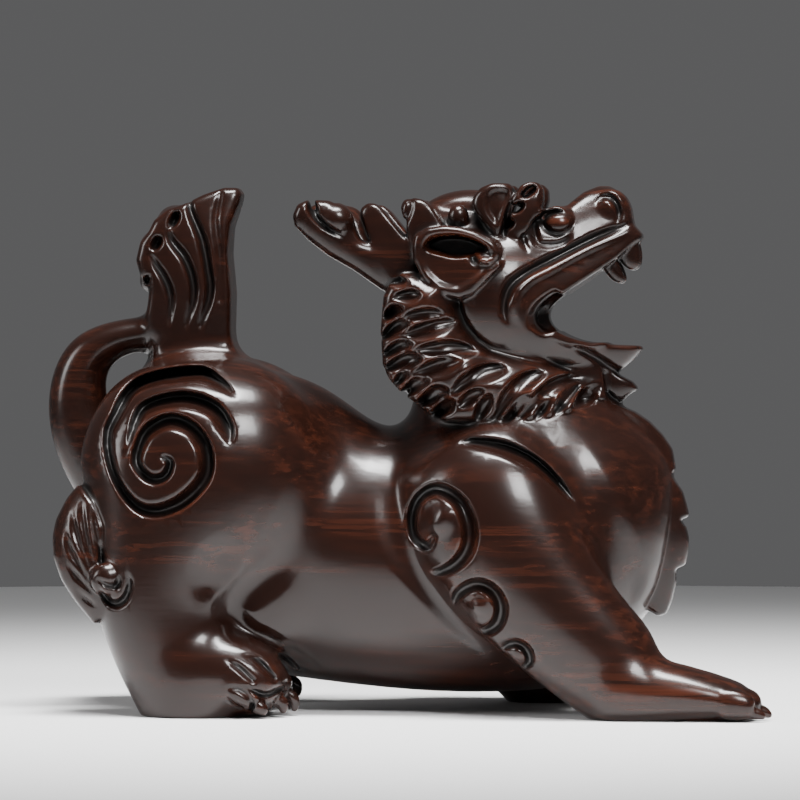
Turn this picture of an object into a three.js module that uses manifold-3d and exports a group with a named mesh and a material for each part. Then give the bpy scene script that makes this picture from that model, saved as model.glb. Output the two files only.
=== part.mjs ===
// A carved wooden pixiu, the crouching guardian beast of East Asian tables, in one solid.
// Millimetres, +Z up, +X towards the head, the figure's right side towards -Y.
import * as THREE from "three";
import { mergeVertices } from "three/addons/utils/BufferGeometryUtils.js";
import Module from "manifold-3d";

const wasm = await Module();
wasm.setup();

// Driving dimensions
const length = 200; // tail to claw tips
const foreStagger = 30; // how far the left forepaw stands behind the right one
const hindStagger = 5.5; // how far the left hind foot stands behind the right one
const grooveDepth = 2.6; // of the spirals and curls
const lockDepth = 3; // of the gouges between the locks of the mane
const fluteDepth = 2.4; // of the tail tuft
const fanDepth = 1.45; // of the flutes on the hock fans

// The figure's forms are drawn in shares of its length: the rows below are for one 200 long.
const unit = length / 200;
const shoulderHeight = 90 * unit; // where a foreleg swings from
const hipHeight = 60 * unit; // where a hind leg swings from
const thinnest = 0.1 * unit; // half width that no rib goes below
const clearLift = 0.7 * unit; // how far a cutter's flat back stands off the skin
const flare = 1.5; // width of a cutter's back, in widths of its groove
const stub = 0.3; // how far the end of an undomed limb stands out, in half widths
const weld = 1e-4; // corners nearer than this are one

const acrossAxis = new THREE.Vector3(0, 1, 0);
const upAxis = new THREE.Vector3(0, 0, 1);
const quarter = Math.PI / 2;
const radians = THREE.MathUtils.degToRad;

// One value of a smooth curve through table rows, at place t counted in rows.
function between(rows, column, t) {
  const last = rows.length - 1;
  const row = Math.min(Math.floor(t), last - 1);
  const u = t - row;
  const at = (k) => rows[Math.min(Math.max(k, 0), last)][column] ?? 0;
  const [p, q, r, s] = [at(row - 1), at(row), at(row + 1), at(row + 2)];
  return q + 0.5 * u * (r - p + u * (2 * p - 5 * q + 4 * r - s + u * (3 * (q - r) + s - p)));
}

// Rows filled in smoothly, steps times as many.
function smooth(rows, steps) {
  const count = (rows.length - 1) * steps;
  return Array.from({ length: count + 1 }, (_, k) =>
    rows[0].map((_, column) => between(rows, column, k / steps)),
  );
}

// A closed skin through rings of equal count with a point at either end.
function skin(rings, start, end) {
  const sides = rings[0].length;
  const points = [start, end, ...rings.flat()];
  const corner = (ring, k) => 2 + ring * sides + (k % sides);
  const index = [];
  for (let k = 0; k < sides; k++) {
    index.push(0, corner(0, k + 1), corner(0, k));
    index.push(1, corner(rings.length - 1, k), corner(rings.length - 1, k + 1));
    for (let ring = 0; ring < rings.length - 1; ring++) {
      const [a, b] = [corner(ring, k), corner(ring, k + 1)];
      const [c, d] = [corner(ring + 1, k), corner(ring + 1, k + 1)];
      index.push(a, b, d, a, d, c);
    }
  }
  const geometry = new THREE.BufferGeometry().setFromPoints(points);
  geometry.setIndex(index);
  return geometry;
}

// A rounded limb. A row is [x, y, z, across, deep]: its centre, its half width along `across`
// and its half depth at right angles to that and to the way the limb runs. Carving gives how far
// the skin is cut in at one rib and one of its corners.
function limb(rows, options = {}) {
  const { sides = 12, steps = 1, across = acrossAxis, power = 2, dome = 0 } = options;
  const { carving = () => 0 } = options;
  const ribs = smooth(rows, steps).map(([x, y, z, wide, deep]) => ({
    centre: new THREE.Vector3(x, y, z).multiplyScalar(unit),
    wide: Math.max(wide * unit, thinnest),
    deep: Math.max(deep * unit, thinnest),
  }));
  ribs.forEach((rib, k) => {
    const before = ribs[Math.max(k - 1, 0)].centre;
    const after = ribs[Math.min(k + 1, ribs.length - 1)].centre;
    rib.along = after.clone().sub(before).normalize();
    rib.side = across.clone().addScaledVector(rib.along, -across.dot(rib.along)).normalize();
    rib.up = rib.along.clone().cross(rib.side);
  });
  const [first, last] = [ribs[0], ribs.at(-1)];
  const cap = (rib, way) =>
    Array.from({ length: dome }, (_, k) => {
      const turn = ((k + 1) / (dome + 1)) * quarter;
      const reach = way * Math.min(rib.wide, rib.deep) * Math.sin(turn);
      return {
        ...rib,
        centre: rib.centre.clone().addScaledVector(rib.along, reach),
        wide: rib.wide * Math.cos(turn),
        deep: rib.deep * Math.cos(turn),
      };
    });
  const blunt = dome ? 1 : stub;
  const tip = (rib, way) =>
    rib.centre.clone().addScaledVector(rib.along, way * blunt * Math.min(rib.wide, rib.deep));
  const bent = (value) => Math.sign(value) * Math.abs(value) ** (2 / power);
  const rings = [...cap(first, -1).reverse(), ...ribs, ...cap(last, 1)].map((rib, ring) =>
    Array.from({ length: sides }, (_, k) => {
      const turn = (k / sides) * 2 * Math.PI;
      const cut = carving(ring, k);
      return rib.centre
        .clone()
        .addScaledVector(rib.side, Math.max(rib.wide - cut, thinnest) * bent(Math.cos(turn)))
        .addScaledVector(rib.up, Math.max(rib.deep - cut, thinnest) * bent(Math.sin(turn)));
    }),
  );
  return skin(rings, tip(first, -1), tip(last, 1));
}

// An egg with its half sizes, leant forward by an angle in degrees.
function ball([x, y, z], [a, b, c], { sides = 6, lean = 0 } = {}) {
  return new THREE.SphereGeometry(unit, sides, Math.round(sides / 2) + 1)
    .scale(a, b, c)
    .rotateY(radians(lean))
    .translate(x * unit, y * unit, z * unit);
}

function mirrored(geometry) {
  const copy = geometry.clone().scale(1, -1, 1);
  const index = Array.from(copy.index.array);
  for (let k = 0; k < index.length; k += 3) {
    [index[k], index[k + 1]] = [index[k + 1], index[k]];
  }
  return copy.setIndex(index);
}

const pair = (geometry) => [geometry, mirrored(geometry)];

function solidOf(geometry) {
  const bare = geometry.clone();
  bare.deleteAttribute("normal");
  bare.deleteAttribute("uv");
  const merged = mergeVertices(bare, weld);
  return new wasm.Manifold(
    new wasm.Mesh({
      numProp: 3,
      vertProperties: new Float32Array(merged.attributes.position.array),
      triVerts: new Uint32Array(merged.index.array),
    }),
  );
}

function geometryOf(solid) {
  const { vertProperties, triVerts } = solid.getMesh();
  const geometry = new THREE.BufferGeometry();
  geometry.setAttribute("position", new THREE.BufferAttribute(vertProperties, 3));
  geometry.setIndex(new THREE.BufferAttribute(triVerts, 1));
  return geometry;
}

const sum = (forms) => forms.flat(2).map(solidOf).reduce((whole, form) => whole.add(form));
const less = (solid, cuts) => cuts.flat().map(solidOf).reduce((rest, cut) => rest.subtract(cut), solid);

// Finds where a line square to the side view meets the right side of a form.
function rightSideOf(geometry) {
  const mesh = new THREE.Mesh(geometry, new THREE.MeshBasicMaterial({ side: THREE.DoubleSide }));
  const caster = new THREE.Raycaster();
  return (x, z) => {
    caster.set(new THREE.Vector3(x, -2 * length, z), acrossAxis);
    const [hit] = caster.intersectObject(mesh);
    if (!hit) return null;
    const normal = hit.face.normal.clone();
    return { point: hit.point, normal: normal.y > 0 ? normal.negate() : normal };
  };
}

// A V cutter that follows a line on the right side of a form. A row is [x, z, half width, depth],
// its depth a share of the groove's.
function gouge(rows, sideAt) {
  const places = rows
    .map(([x, z, half, deep]) => ({ ...sideAt(x * unit, z * unit), half: half * unit, deep }))
    .filter((place) => place.point);
  const rings = places.map(({ point, normal, half, deep }, k) => {
    const before = places[Math.max(k - 1, 0)].point;
    const after = places[Math.min(k + 1, places.length - 1)].point;
    const along = after.clone().sub(before).normalize();
    const side = normal.clone().cross(along).normalize();
    const lift = half + clearLift;
    return [
      point.clone().addScaledVector(normal, lift).addScaledVector(side, half * flare),
      point.clone().addScaledVector(normal, lift).addScaledVector(side, -half * flare),
      point.clone().addScaledVector(normal, -deep * grooveDepth),
    ];
  });
  return skin(rings, places[0].point, places.at(-1).point);
}

// Rows of a spiral line in side view. A turn is [degrees, radius, half width, depth].
const spiral = ([x, z], turns) =>
  turns.map(([degrees, radius, half, deep]) => [
    x + radius * Math.cos(radians(degrees)),
    z + radius * Math.sin(radians(degrees)),
    half,
    deep,
  ]);

// Trunk, neck and chest
const trunk = limb(
  [
    [-82, 0, 64, 16, 14],
    [-72, 0, 63, 27, 31],
    [-56, 0, 57, 32, 40],
    [-38, 0, 50.5, 33, 42],
    [-18, 0, 42.5, 33, 36],
    [2, 0, 41, 33.5, 36.5],
    [22, 0, 45.5, 35, 41.5],
    [40, 0, 49, 34.5, 42.5],
    [55, 0, 50.5, 29, 35],
    [65, 0, 49.5, 20, 26],
    [70.5, 0, 48.5, 11, 16],
  ],
  { sides: 16 },
);
const neck = limb(
  [
    [29, 0, 66, 27, 34],
    [27, 0, 80, 22, 27],
    [21, 0, 93, 19, 22],
    [14, 0, 104, 18, 16],
    [10, 0, 116, 18, 13],
  ],
  { sides: 8 },
);
const chestPlates = [
  [62.5, 77.5, 44, 13],
  [69.7, 62.5, 19, 13.5],
  [71.2, 46.5, 3, 13],
  [67.6, 32, -17, 12],
].map(([x, z, lean, half]) => ball([x, 0, z], [4.6, half, 11], { lean: -lean }));

// Hind legs: the foot of the left one stands a little further back.
const hindLeg = limb(
  [
    [-57, -14, 94, 8, 11],
    [-56, -19, 89, 15, 20.5],
    [-55.5, -22, 79, 19.5, 28.7],
    [-54.5, -23.5, 67, 21, 33.3],
    [-57, -24.5, 54, 20, 30.5],
    [-62.5, -26, 41, 18, 23.5],
    [-65, -28, 29, 15.5, 18.5],
    [-61, -30, 15, 13.5, 15.7],
    [-56.5, -31, 0, 12.5, 13],
  ],
  { sides: 12 },
);
const toes = (start, end, fan, count, size) =>
  Array.from({ length: count }, (_, k) => {
    const place = k / (count - 1) - 0.5;
    const [reach, spread] = [1 - fan * place * place * 4, place * 2];
    const x = (share) => THREE.MathUtils.lerp(start[0], end[0], share * reach);
    const y = (share) =>
      start[1] + spread * THREE.MathUtils.lerp(start[3], end[3], share);
    const z = (share) => THREE.MathUtils.lerp(start[2], end[2], share);
    return limb(
      [
        [x(0), y(0), z(0), size, size],
        [x(0.8), y(0.8), z(0.6), size, size],
        [x(1.04), y(1), z(1.15), size * 0.3, size * 0.3],
      ],
      { sides: 5 },
    );
  });
const hindPaw = limb(
  [
    [-62, -31, 8, 12.5, 12],
    [-52, -32, 9, 13, 11.5],
    [-44, -33, 8, 12, 9],
  ],
  { sides: 8, dome: 1 },
);
const hindToes = toes([-47, -33, 9.5, 8.5], [-29, -33, 3, 10], 0.22, 4, 4.2);

// Forelegs: the left paw stands well behind the right one.
const foreleg = limb(
  [
    [9, -21, 73, 8, 12],
    [13, -25, 66, 13, 18],
    [18, -27.5, 58, 15.5, 21.5],
    [26.5, -30, 45.7, 15, 20],
    [34.5, -32, 33, 13.5, 18],
    [45.5, -33, 22.5, 12.5, 16.5],
    [57, -33.5, 12, 11.5, 15],
    [62, -34, 3, 10, 10],
  ],
  { sides: 12 },
);
const forePaw = limb(
  [
    [54, -34, 6, 11.5, 10],
    [66, -34.5, 6, 12, 8.6],
    [78, -35, 5.2, 12, 6.2],
    [86, -35, 4.4, 11, 5],
  ],
  { sides: 8, dome: 1 },
);
const foreToes = toes([76, -34, 5.6, 7.5], [99.3, -34, 2.6, 8.6], 0.16, 4, 3.6);

// Tail and its tuft
const tail = limb(
  [
    [-74, 0, 54, 9, 9],
    [-85.5, 0, 64, 9, 9.5],
    [-91.5, 0, 76, 8.5, 8.7],
    [-92.3, 0, 88, 8, 7.6],
    [-88.5, 0, 96.5, 7.5, 6.4],
    [-80, 0, 101.5, 7, 5],
    [-70, 0, 103, 7, 5],
    [-60, 0, 102, 8, 6],
  ],
  { sides: 8 },
);
const flutes = (ring, corner) => fluteDepth * (corner % 2);
const tuft = limb(
  [
    [-57.5, 0, 92, 8, 8],
    [-57, 0, 101, 9, 8],
    [-58, 0, 110, 10, 10],
    [-60, 0, 120, 11, 11.5],
    [-58, 0, 130, 10, 10],
    [-53.5, 0, 138, 7, 7.5],
    [-51.5, 0, 142, 5, 4.5],
  ],
  { sides: 16, carving: flutes },
);
const roll = ([x, z], size, half) =>
  limb(
    [
      [x, -half, z, size, size],
      [x, half, z, size, size],
    ],
    { sides: 6, across: upAxis },
  );
const tuftCurls = [
  roll([-64.5, 134.5], 4.8, 6),
  roll([-69, 127.5], 4.8, 7),
  roll([-70.5, 119.5], 4.6, 7.5),
];

// Head
const skull = limb(
  [
    [-1, 0, 118, 14, 11],
    [5, 0, 121, 21, 16.5],
    [16, 0, 123, 23, 18],
    [28, 0, 124, 21, 16.5],
    [36, 0, 125.5, 17, 14],
    [43, 0, 127, 14, 12.5],
    [50, 0, 129.5, 12.5, 12],
    [55, 0, 131.5, 11, 9],
    [59, 0, 130.5, 8, 4.6],
  ],
  { sides: 12, dome: 1 },
);
const jaw = limb(
  [
    [14, 0, 111, 22, 15],
    [27, 0, 106, 21, 12],
    [40, 0, 98, 16, 8.5],
    [50, 0, 94, 12, 7.5],
    [56, 0, 94, 9, 7],
    [62, 0, 96, 6, 4.6],
  ],
  { sides: 12 },
);
const chinTuft = limb(
  [
    [47, 0, 91, 8, 5],
    [57, 0, 86, 5, 3],
    [61.5, 0, 86.5, 1.5, 1],
  ],
  { sides: 5 },
);
const nose = [
  ball([52.3, 0, 138.2], [6.6, 8, 6.2], { sides: 8 }),
  ...pair(ball([55.6, -5, 137], [4.2, 4, 3.8])),
];
// The mane is a band round the cheek, its locks cut in staggered rows.
const mane = limb(
  [
    [6, 0, 122, 23, 10],
    [4, 0, 113, 28, 12],
    [5.5, 0, 103, 30, 12.2],
    [11, 0, 94, 31, 11.5],
    [22, 0, 89, 30, 9.6],
    [35, 0, 89, 27, 8.2],
    [46, 0, 88.5, 21, 6.2],
    [55, 0, 87.5, 12.5, 3.4],
  ],
  {
    sides: 16, steps: 3, power: 2.6,
    carving: (ring, corner) => lockDepth * ((ring + Math.floor(corner / 2)) % 2),
  },
);
const mouth = new THREE.Shape()
  .moveTo(75, 133)
  .lineTo(64, 127.5)
  .quadraticCurveTo(52, 118.5, 42, 113)
  .quadraticCurveTo(35, 108, 41, 103.5)
  .quadraticCurveTo(48, 99.5, 64, 99.8)
  .lineTo(75, 99);
// The cutter is drawn as a thin board, which is then stretched well past both cheeks.
const board = 1;
const mouthCut = new THREE.ExtrudeGeometry(mouth, {
  depth: board, bevelEnabled: false, curveSegments: 3,
})
  .rotateX(quarter)
  .translate(0, board / 2, 0)
  .scale(unit, length, unit);
const horn = limb(
  [
    [4, -10, 115, 4.6, 5],
    [-5, -11.5, 120.5, 4.4, 4.4],
    [-13.5, -13.5, 125, 3.9, 3.9],
    [-21, -15, 129.5, 3.9, 3.9],
    [-27, -16, 134.5, 4.4, 4.2],
    [-25, -16, 139, 3, 2.4],
  ],
  { sides: 6, dome: 1 },
);
const hornLobe = ball([-18.5, -16, 134], [6.6, 4.2, 4.6], { lean: 30 });
const prong = limb(
  [
    [4, -10, 119, 4.5, 4],
    [-3.5, -11, 129, 3.8, 3.2],
    [-9, -12, 136.5, 2.8, 2.5],
  ],
  { sides: 6 },
);
const spike = limb(
  [
    [8, -9, 125, 4, 7],
    [4.5, -9.5, 134, 3, 4.5],
    [2, -10, 140.2, 1.4, 1.4],
  ],
  { sides: 6 },
);
const crown = limb(
  [
    [4, 0, 132, 9, 5],
    [12, 0, 137, 9, 5.5],
    [22, 0, 138, 8, 5],
    [32, 0, 134, 6, 4],
  ],
  { sides: 5 },
);
const browLeaf = ball([21.5, -12.5, 136], [5.5, 3.4, 7.6], { lean: 20 });
const browTuft = limb(
  [
    [27.5, -12, 126, 3.5, 3.4],
    [31, -13.5, 133, 4.6, 5],
    [34.3, -14, 140, 3.6, 3.5],
  ],
  { sides: 6, dome: 1 },
);
const earHollow = ball([12.5, -29, 124.5], [8, 3.4, 5.5]);
const eye = ball([41.5, -12, 134], [4.4, 4, 4.4]);
const ear = limb(
  [
    [24, -20, 124.5, 2.5, 4],
    [20, -23, 124.5, 3, 7.5],
    [12, -25, 123.7, 3.4, 9.4],
    [5, -25.5, 124, 2.6, 6],
  ],
  { sides: 8, dome: 1 },
);
const fang = limb(
  [
    [58.5, -6.5, 130, 2.4, 3.4],
    [60.3, -6.5, 123, 2.2, 2.8],
    [60.5, -6.5, 118.8, 1, 1.2],
  ],
  { sides: 6 },
);
const tooth = limb(
  [
    [53, -7, 122, 2, 2.4],
    [56, -7, 117.5, 1.8, 2],
    [57.6, -7, 115.6, 0.8, 0.9],
  ],
  { sides: 4 },
);

// The fluted fan behind each hock, and the curl beside it
const hockFan = limb(
  [
    [-84, -28, 61, 4, 2.5],
    [-87.5, -29, 53, 7.5, 6.5],
    [-88.5, -30, 44, 8, 7],
    [-86, -31, 34, 6, 4.5],
    [-83, -31, 26, 2.5, 2],
  ],
  { sides: 10, carving: (ring, corner) => fanDepth * (corner % 2) },
);
const hockCurl = ball([-78.5, -40, 37], [4.4, 3.5, 4.4]);

// Carved lines on the haunch and the shoulder
const haunchBoss = [-65.5, 70.4];
const haunchSpiral = (side) => [
  gouge(
    spiral(haunchBoss, [
      [40, 27, 0.3, 0.3],
      [75, 24.6, 1.6, 1],
      [110, 21.5, 1.6, 1],
      [150, 16.6, 1.2, 0.7],
      [195, 13.2, 1.2, 0.7],
      [240, 13.3, 1.3, 0.8],
      [285, 13.1, 1.4, 0.9],
      [330, 13.3, 1.5, 1],
      [375, 13.2, 1.5, 1],
      [420, 11.8, 1.4, 1],
      [470, 9, 1.3, 1],
      [545, 6.2, 1.1, 1],
      [620, 4.8, 1, 0.9],
      [700, 2.4, 0.4, 0.3],
    ]),
    side,
  ),
  gouge(
    spiral(haunchBoss, [
      [14, 19.6, 0.3, 0.3],
      [40, 20.2, 1.6, 1],
      [75, 17.4, 1.6, 1],
      [105, 14.8, 1.3, 0.9],
      [135, 11.8, 0.9, 0.6],
      [170, 9, 0.3, 0.3],
    ]),
    side,
  ),
];
// A curl winds clockwise and tightens towards its end, its groove fading out at both ends.
const curlStart = 185; // degrees
const curlTurn = 370; // degrees
const curlTightening = 0.5; // of its radius, at the end
const curlWidth = 0.125; // of its radius, half across the groove
const curlTip = 0.2; // half width at the ends, in drawing units
const curl = (centre, size, places, side) =>
  gouge(
    spiral(
      centre,
      Array.from({ length: places }, (_, k) => {
        const share = k / (places - 1);
        const strength = Math.min(1, 8 * share * (1 - share)) * size * curlWidth + curlTip;
        const radius = size * (1 - curlTightening * share ** 4);
        return [curlStart - curlTurn * share, radius, strength, strength];
      }),
    ),
    side,
  );
const shoulderLines = (side) => [
  curl([11.5, 52.5], 10, 9, side),
  curl([23, 30.8], 6.8, 7, side),
  curl([33, 18.2], 4.2, 5, side),
  gouge([[17, 73.5, 0.3, 0.3], [28.5, 72.8, 1.4, 1], [39.7, 67, 1.4, 1], [46, 58.4, 0.3, 0.3]], side),
];

const lipLine = (side) => [
  gouge(
    [
      [57, 134, 0.3, 0.3],
      [45, 127.5, 1.2, 0.9],
      [33, 121, 1.4, 0.9],
      [27, 115.5, 1.4, 0.9],
      [26.5, 106, 0.3, 0.3],
    ],
    side,
  ),
];

const bothSides = (lines) => (side) => lines(side).map(pair).flat();
const carved = (geometry, lines) => geometryOf(less(solidOf(geometry), lines(rightSideOf(geometry))));

// A limb on both sides, the left one slanted back from its joint at the given height.
function stride(geometry, far, joint) {
  const left = mirrored(geometry);
  const place = left.attributes.position;
  for (let k = 0; k < place.count; k++) {
    place.setX(k, place.getX(k) - far * Math.max(0, 1 - place.getZ(k) / joint));
  }
  return [geometry, left];
}

const bareHead = geometryOf(less(sum([skull, jaw, chinTuft]), [mouthCut]));
const head = solidOf(carved(bareHead, bothSides(lipLine)));
const body = sum([
  trunk, neck, chestPlates, tail, tuftCurls, nose,
  tuft, mane,
  [carved(hindLeg, haunchSpiral), hindPaw, ...hindToes]
    .map((form) => stride(form, hindStagger, hipHeight))
    .flat(),
  [carved(foreleg, shoulderLines), forePaw, ...foreToes]
    .map((form) => stride(form, foreStagger, shoulderHeight))
    .flat(),
  [
    horn, hornLobe, prong, spike, browLeaf, browTuft, eye, fang, tooth,
    geometryOf(less(solidOf(ear), [earHollow])),
    hockFan, hockCurl,
  ].map(pair),
  crown,
]).add(head);

// The feet stand flat, and the origin is on the ground under the middle of the figure's box.
const ground = new THREE.BoxGeometry(2 * length, length, length).translate(0, 0, -length / 2);
const geometry = geometryOf(less(body, [ground]));
geometry.computeBoundingBox();
const middle = geometry.boundingBox.getCenter(new THREE.Vector3());
geometry.translate(-middle.x, -middle.y, 0);

const wood = new THREE.MeshStandardMaterial({ color: 0x2a1712, roughness: 0.3, metalness: 0 });
const pixiu = new THREE.Mesh(geometry, wood);
pixiu.name = "pixiu";

const group = new THREE.Group();
group.add(pixiu);
export default group;
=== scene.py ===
"""A pixiu carved from one block of dark hardwood, laid out as a Blender add-on.

The forms are blocked out with Blender's own modelling operators, merged into one block of wood
with a rounded fillet at every seam, and then carved: locks, spirals, curls, flutes and toes are
sunk into the block's flanks as a relief drawn in side view. Drawing units are millimetres, for a
figure 200 long; +X is towards the muzzle, and the figure's right side faces -Y.
"""

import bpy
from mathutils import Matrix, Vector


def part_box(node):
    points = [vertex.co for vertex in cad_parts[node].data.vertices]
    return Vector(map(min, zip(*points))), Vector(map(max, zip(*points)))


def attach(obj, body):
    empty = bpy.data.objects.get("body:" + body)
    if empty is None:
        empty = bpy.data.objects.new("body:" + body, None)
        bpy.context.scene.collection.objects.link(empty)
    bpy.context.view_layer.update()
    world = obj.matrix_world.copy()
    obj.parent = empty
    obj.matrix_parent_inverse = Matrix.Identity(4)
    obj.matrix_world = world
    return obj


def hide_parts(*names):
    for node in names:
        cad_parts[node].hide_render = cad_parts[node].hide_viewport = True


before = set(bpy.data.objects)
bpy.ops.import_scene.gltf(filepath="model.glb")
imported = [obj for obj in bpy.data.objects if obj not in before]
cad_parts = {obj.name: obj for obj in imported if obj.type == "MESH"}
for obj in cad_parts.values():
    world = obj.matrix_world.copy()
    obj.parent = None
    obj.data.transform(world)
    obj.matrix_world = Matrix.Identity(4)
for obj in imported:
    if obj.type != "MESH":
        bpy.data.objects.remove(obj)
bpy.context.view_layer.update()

import math

import bpy
import numpy as np
import openvdb
from bpy.props import FloatProperty, FloatVectorProperty, IntProperty, PointerProperty
from mathutils import Vector

bl_info = {
    "name": "Carved pixiu",
    "version": (1, 0, 0),
    "blender": (4, 5, 0),
    "location": "3D View > Sidebar > Pixiu",
    "description": "Carves a pixiu figure from dark hardwood and lights it on a pale floor",
    "category": "Add Mesh",
}

NODE = "pixiu"
DRAWN_LENGTH = 200.0  # of the drawing below, from tail to claw tips
LOW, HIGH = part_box(NODE)
UNIT = (HIGH.x - LOW.x) / DRAWN_LENGTH  # one drawing unit in metres
BAND = 9.0  # drawing units to either side of a skin in which distances are true
MARGIN = 4.0  # spare wood round the figure's box
DRAWN_FROM = 1400.0  # how far away the side views of the flanks were drawn from
NEAR = {  # how far the drawn skins stand out from the figure's middle towards the viewer
    "haunch": 33, "shoulder": 29, "mane": 28, "ear": 27, "cheek": 24, "horn": 16, "prong": 12,
    "spike": 11,
}
EGG_SHARE = 0.78  # half size of a crowned slab's egg, as a share of the outline's size
PHOTO_PIXELS = 800  # across the photo
PIXELS_PER_UNIT = 3.65  # of the photo, for a drawing unit in the figure's middle
AIM = (-2.9, 0, 84.7)  # where the camera looks, in drawing units
CAMERA_RISE = 0.0203  # metres from there up to the camera's height
SENSOR = 36  # millimetres across
FLOOR_RADIUS = 0.72  # metres
LAMP_AIM = (0, 0, 0.07)
LAMP_SPREAD = math.radians(50)
LAMPS = [  # name, place and size in metres, and power in watts
    ("key", (0.45, -0.75, 0.85), (0.35, 0.35), 1.2),
    ("side", (-1.0, -0.35, 0.5), (0.3, 0.8), 0.65),
    ("top", (0.05, -0.12, 0.9), (0.5, 0.25), 2.6),
]


class PixiuForm(bpy.types.PropertyGroup):
    """Sizes of the figure and its carving, in metres."""

    cell: FloatProperty(
        name="Cell",
        description="Edge of the cells in which the block of wood is carved",
        default=0.5 * UNIT, unit="LENGTH", precision=5,
    )
    fore_stagger: FloatProperty(
        name="Forepaw stagger",
        description="How far the left forepaw stands behind the right one",
        default=30 * UNIT, unit="LENGTH",
    )
    hind_stagger: FloatProperty(
        name="Hind foot stagger",
        description="How far the left hind foot stands behind the right one",
        default=5.5 * UNIT, unit="LENGTH",
    )
    triangles: IntProperty(
        name="Triangles",
        description="Most triangles that the finished figure may have",
        default=190000,
    )


class PixiuWood(bpy.types.PropertyGroup):
    """Colours and gloss of the polished wood, with a painted shade for its hollows and a painted reddish
    glow for its thin ridges.
    """

    heart: FloatVectorProperty(
        name="Heartwood", description="The near-black ground of the wood",
        default=(0.0115, 0.0038, 0.0024), subtype="COLOR",
    )
    streak: FloatVectorProperty(
        name="Streak", description="The reddish streaks of the grain",
        default=(0.052, 0.0135, 0.0066), subtype="COLOR",
    )
    # Painted light: a redder, brighter colour laid onto thin convex ridges as a painted glow.
    edge: FloatVectorProperty(
        name="Edge", description="Thin ridges, where the polish shows the wood's red",
        default=(0.08, 0.018, 0.007), subtype="COLOR",
    )
    # Painted shade: a near-black colour laid into cuts, creases and corners, where shade falls.
    hollow_shade: FloatVectorProperty(
        name="Hollow", description="The dark wax that stays in cuts and corners",
        default=(0.0022, 0.0012, 0.001), subtype="COLOR",
    )
    gloss: FloatProperty(
        name="Roughness", description="Roughness of the waxed surface",
        default=0.25, subtype="FACTOR", min=0, max=1,
    )


class PixiuStage(bpy.types.PropertyGroup):
    """The floor, the lights and the camera."""

    distance: FloatProperty(
        name="Camera distance", description="From the camera to the figure's middle",
        default=1.5, unit="LENGTH",
    )
    azimuth: FloatProperty(
        name="Camera azimuth", description="How far the camera is turned towards the muzzle",
        default=math.radians(5), subtype="ANGLE",
    )
    floor: FloatVectorProperty(
        name="Floor", description="Colour of the floor", default=(0.92, 0.92, 0.92), subtype="COLOR",
    )
    backdrop: FloatVectorProperty(
        name="Backdrop", description="Colour behind the floor",
        default=(0.11, 0.11, 0.112), subtype="COLOR",
    )


# Blocking out: closed forms made by the modelling operators


def fresh():
    """Leaves nothing selected."""
    bpy.ops.object.select_all(action="DESELECT")


def limb(rows, sides=12, level=2):
    """A closed limb: a circle extruded from rib to rib and rounded off.

    A rib is (x, y, z, half width across, half depth at right angles to the limb's run).
    """
    fresh()
    bpy.ops.mesh.primitive_circle_add(vertices=sides, radius=UNIT, fill_type="NGON")
    bpy.ops.object.mode_set(mode="EDIT")
    bpy.ops.mesh.select_all(action="SELECT")
    shrink = (2 + math.cos(2 * math.pi / sides)) / 3  # what rounding off leaves of a rib's size
    place, size, lean = Vector(), (1.0, 1.0), 0.0
    for k, (x, y, z, wide, deep) in enumerate(rows):
        before, after = rows[max(k - 1, 0)], rows[min(k + 1, len(rows) - 1)]
        ahead = math.atan2(after[0] - before[0], after[2] - before[2])
        target = Vector((x, y, z)) * UNIT
        new = (deep / shrink, wide / shrink)
        if k:
            bpy.ops.mesh.extrude_region_move()
            bpy.ops.transform.rotate(value=lean, orient_axis="Y", center_override=place)
        bpy.ops.transform.resize(
            value=(new[0] / size[0], new[1] / size[1], 1), center_override=place
        )
        bpy.ops.transform.translate(value=target - place)
        bpy.ops.transform.rotate(value=-ahead, orient_axis="Y", center_override=target)
        place, size, lean = target, new, ahead
    bpy.ops.object.mode_set(mode="OBJECT")
    form = bpy.context.object
    modifier = form.modifiers.new("Rounding", "SUBSURF")
    modifier.levels = modifier.render_levels = level
    bpy.ops.object.modifier_apply(modifier=modifier.name)
    return form


def egg(place, half, lean=0.0):
    """An egg-shaped form with its half sizes, leant forward by an angle in degrees."""
    fresh()
    bpy.ops.mesh.primitive_uv_sphere_add(segments=32, ring_count=20, radius=UNIT)
    bpy.ops.object.mode_set(mode="EDIT")
    bpy.ops.mesh.select_all(action="SELECT")
    bpy.ops.transform.resize(value=half, center_override=(0, 0, 0))
    bpy.ops.transform.rotate(
        value=-math.radians(lean), orient_axis="Y", center_override=(0, 0, 0)
    )
    bpy.ops.transform.translate(value=Vector(place) * UNIT)
    bpy.ops.object.mode_set(mode="OBJECT")
    return bpy.context.object


def slab(outline, inner, outer, rim=0):
    """A board sawn to an outline in side view, between two depths, with rounded rims."""
    low, high = sorted((inner, outer))
    fresh()
    bpy.ops.mesh.primitive_circle_add(vertices=len(outline), radius=UNIT, fill_type="NGON")
    board = bpy.context.object
    spots = [(x * UNIT, low * UNIT, z * UNIT) for x, z in outline]
    board.data.vertices.foreach_set("co", np.array(spots).ravel())
    bpy.ops.object.mode_set(mode="EDIT")
    bpy.ops.mesh.select_all(action="SELECT")
    bpy.ops.mesh.extrude_region_move(
        TRANSFORM_OT_translate={"value": (0, (high - low) * UNIT, 0)}
    )
    bpy.ops.mesh.select_all(action="SELECT")
    bpy.ops.mesh.normals_make_consistent(inside=False)
    bpy.ops.object.mode_set(mode="OBJECT")
    if rim:
        modifier = board.modifiers.new("Rim", "BEVEL")
        modifier.width = rim * UNIT
        modifier.segments = 3
        modifier.limit_method = "ANGLE"
        modifier.angle_limit = math.radians(60)
        bpy.ops.object.modifier_apply(modifier=modifier.name)
    return board


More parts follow.
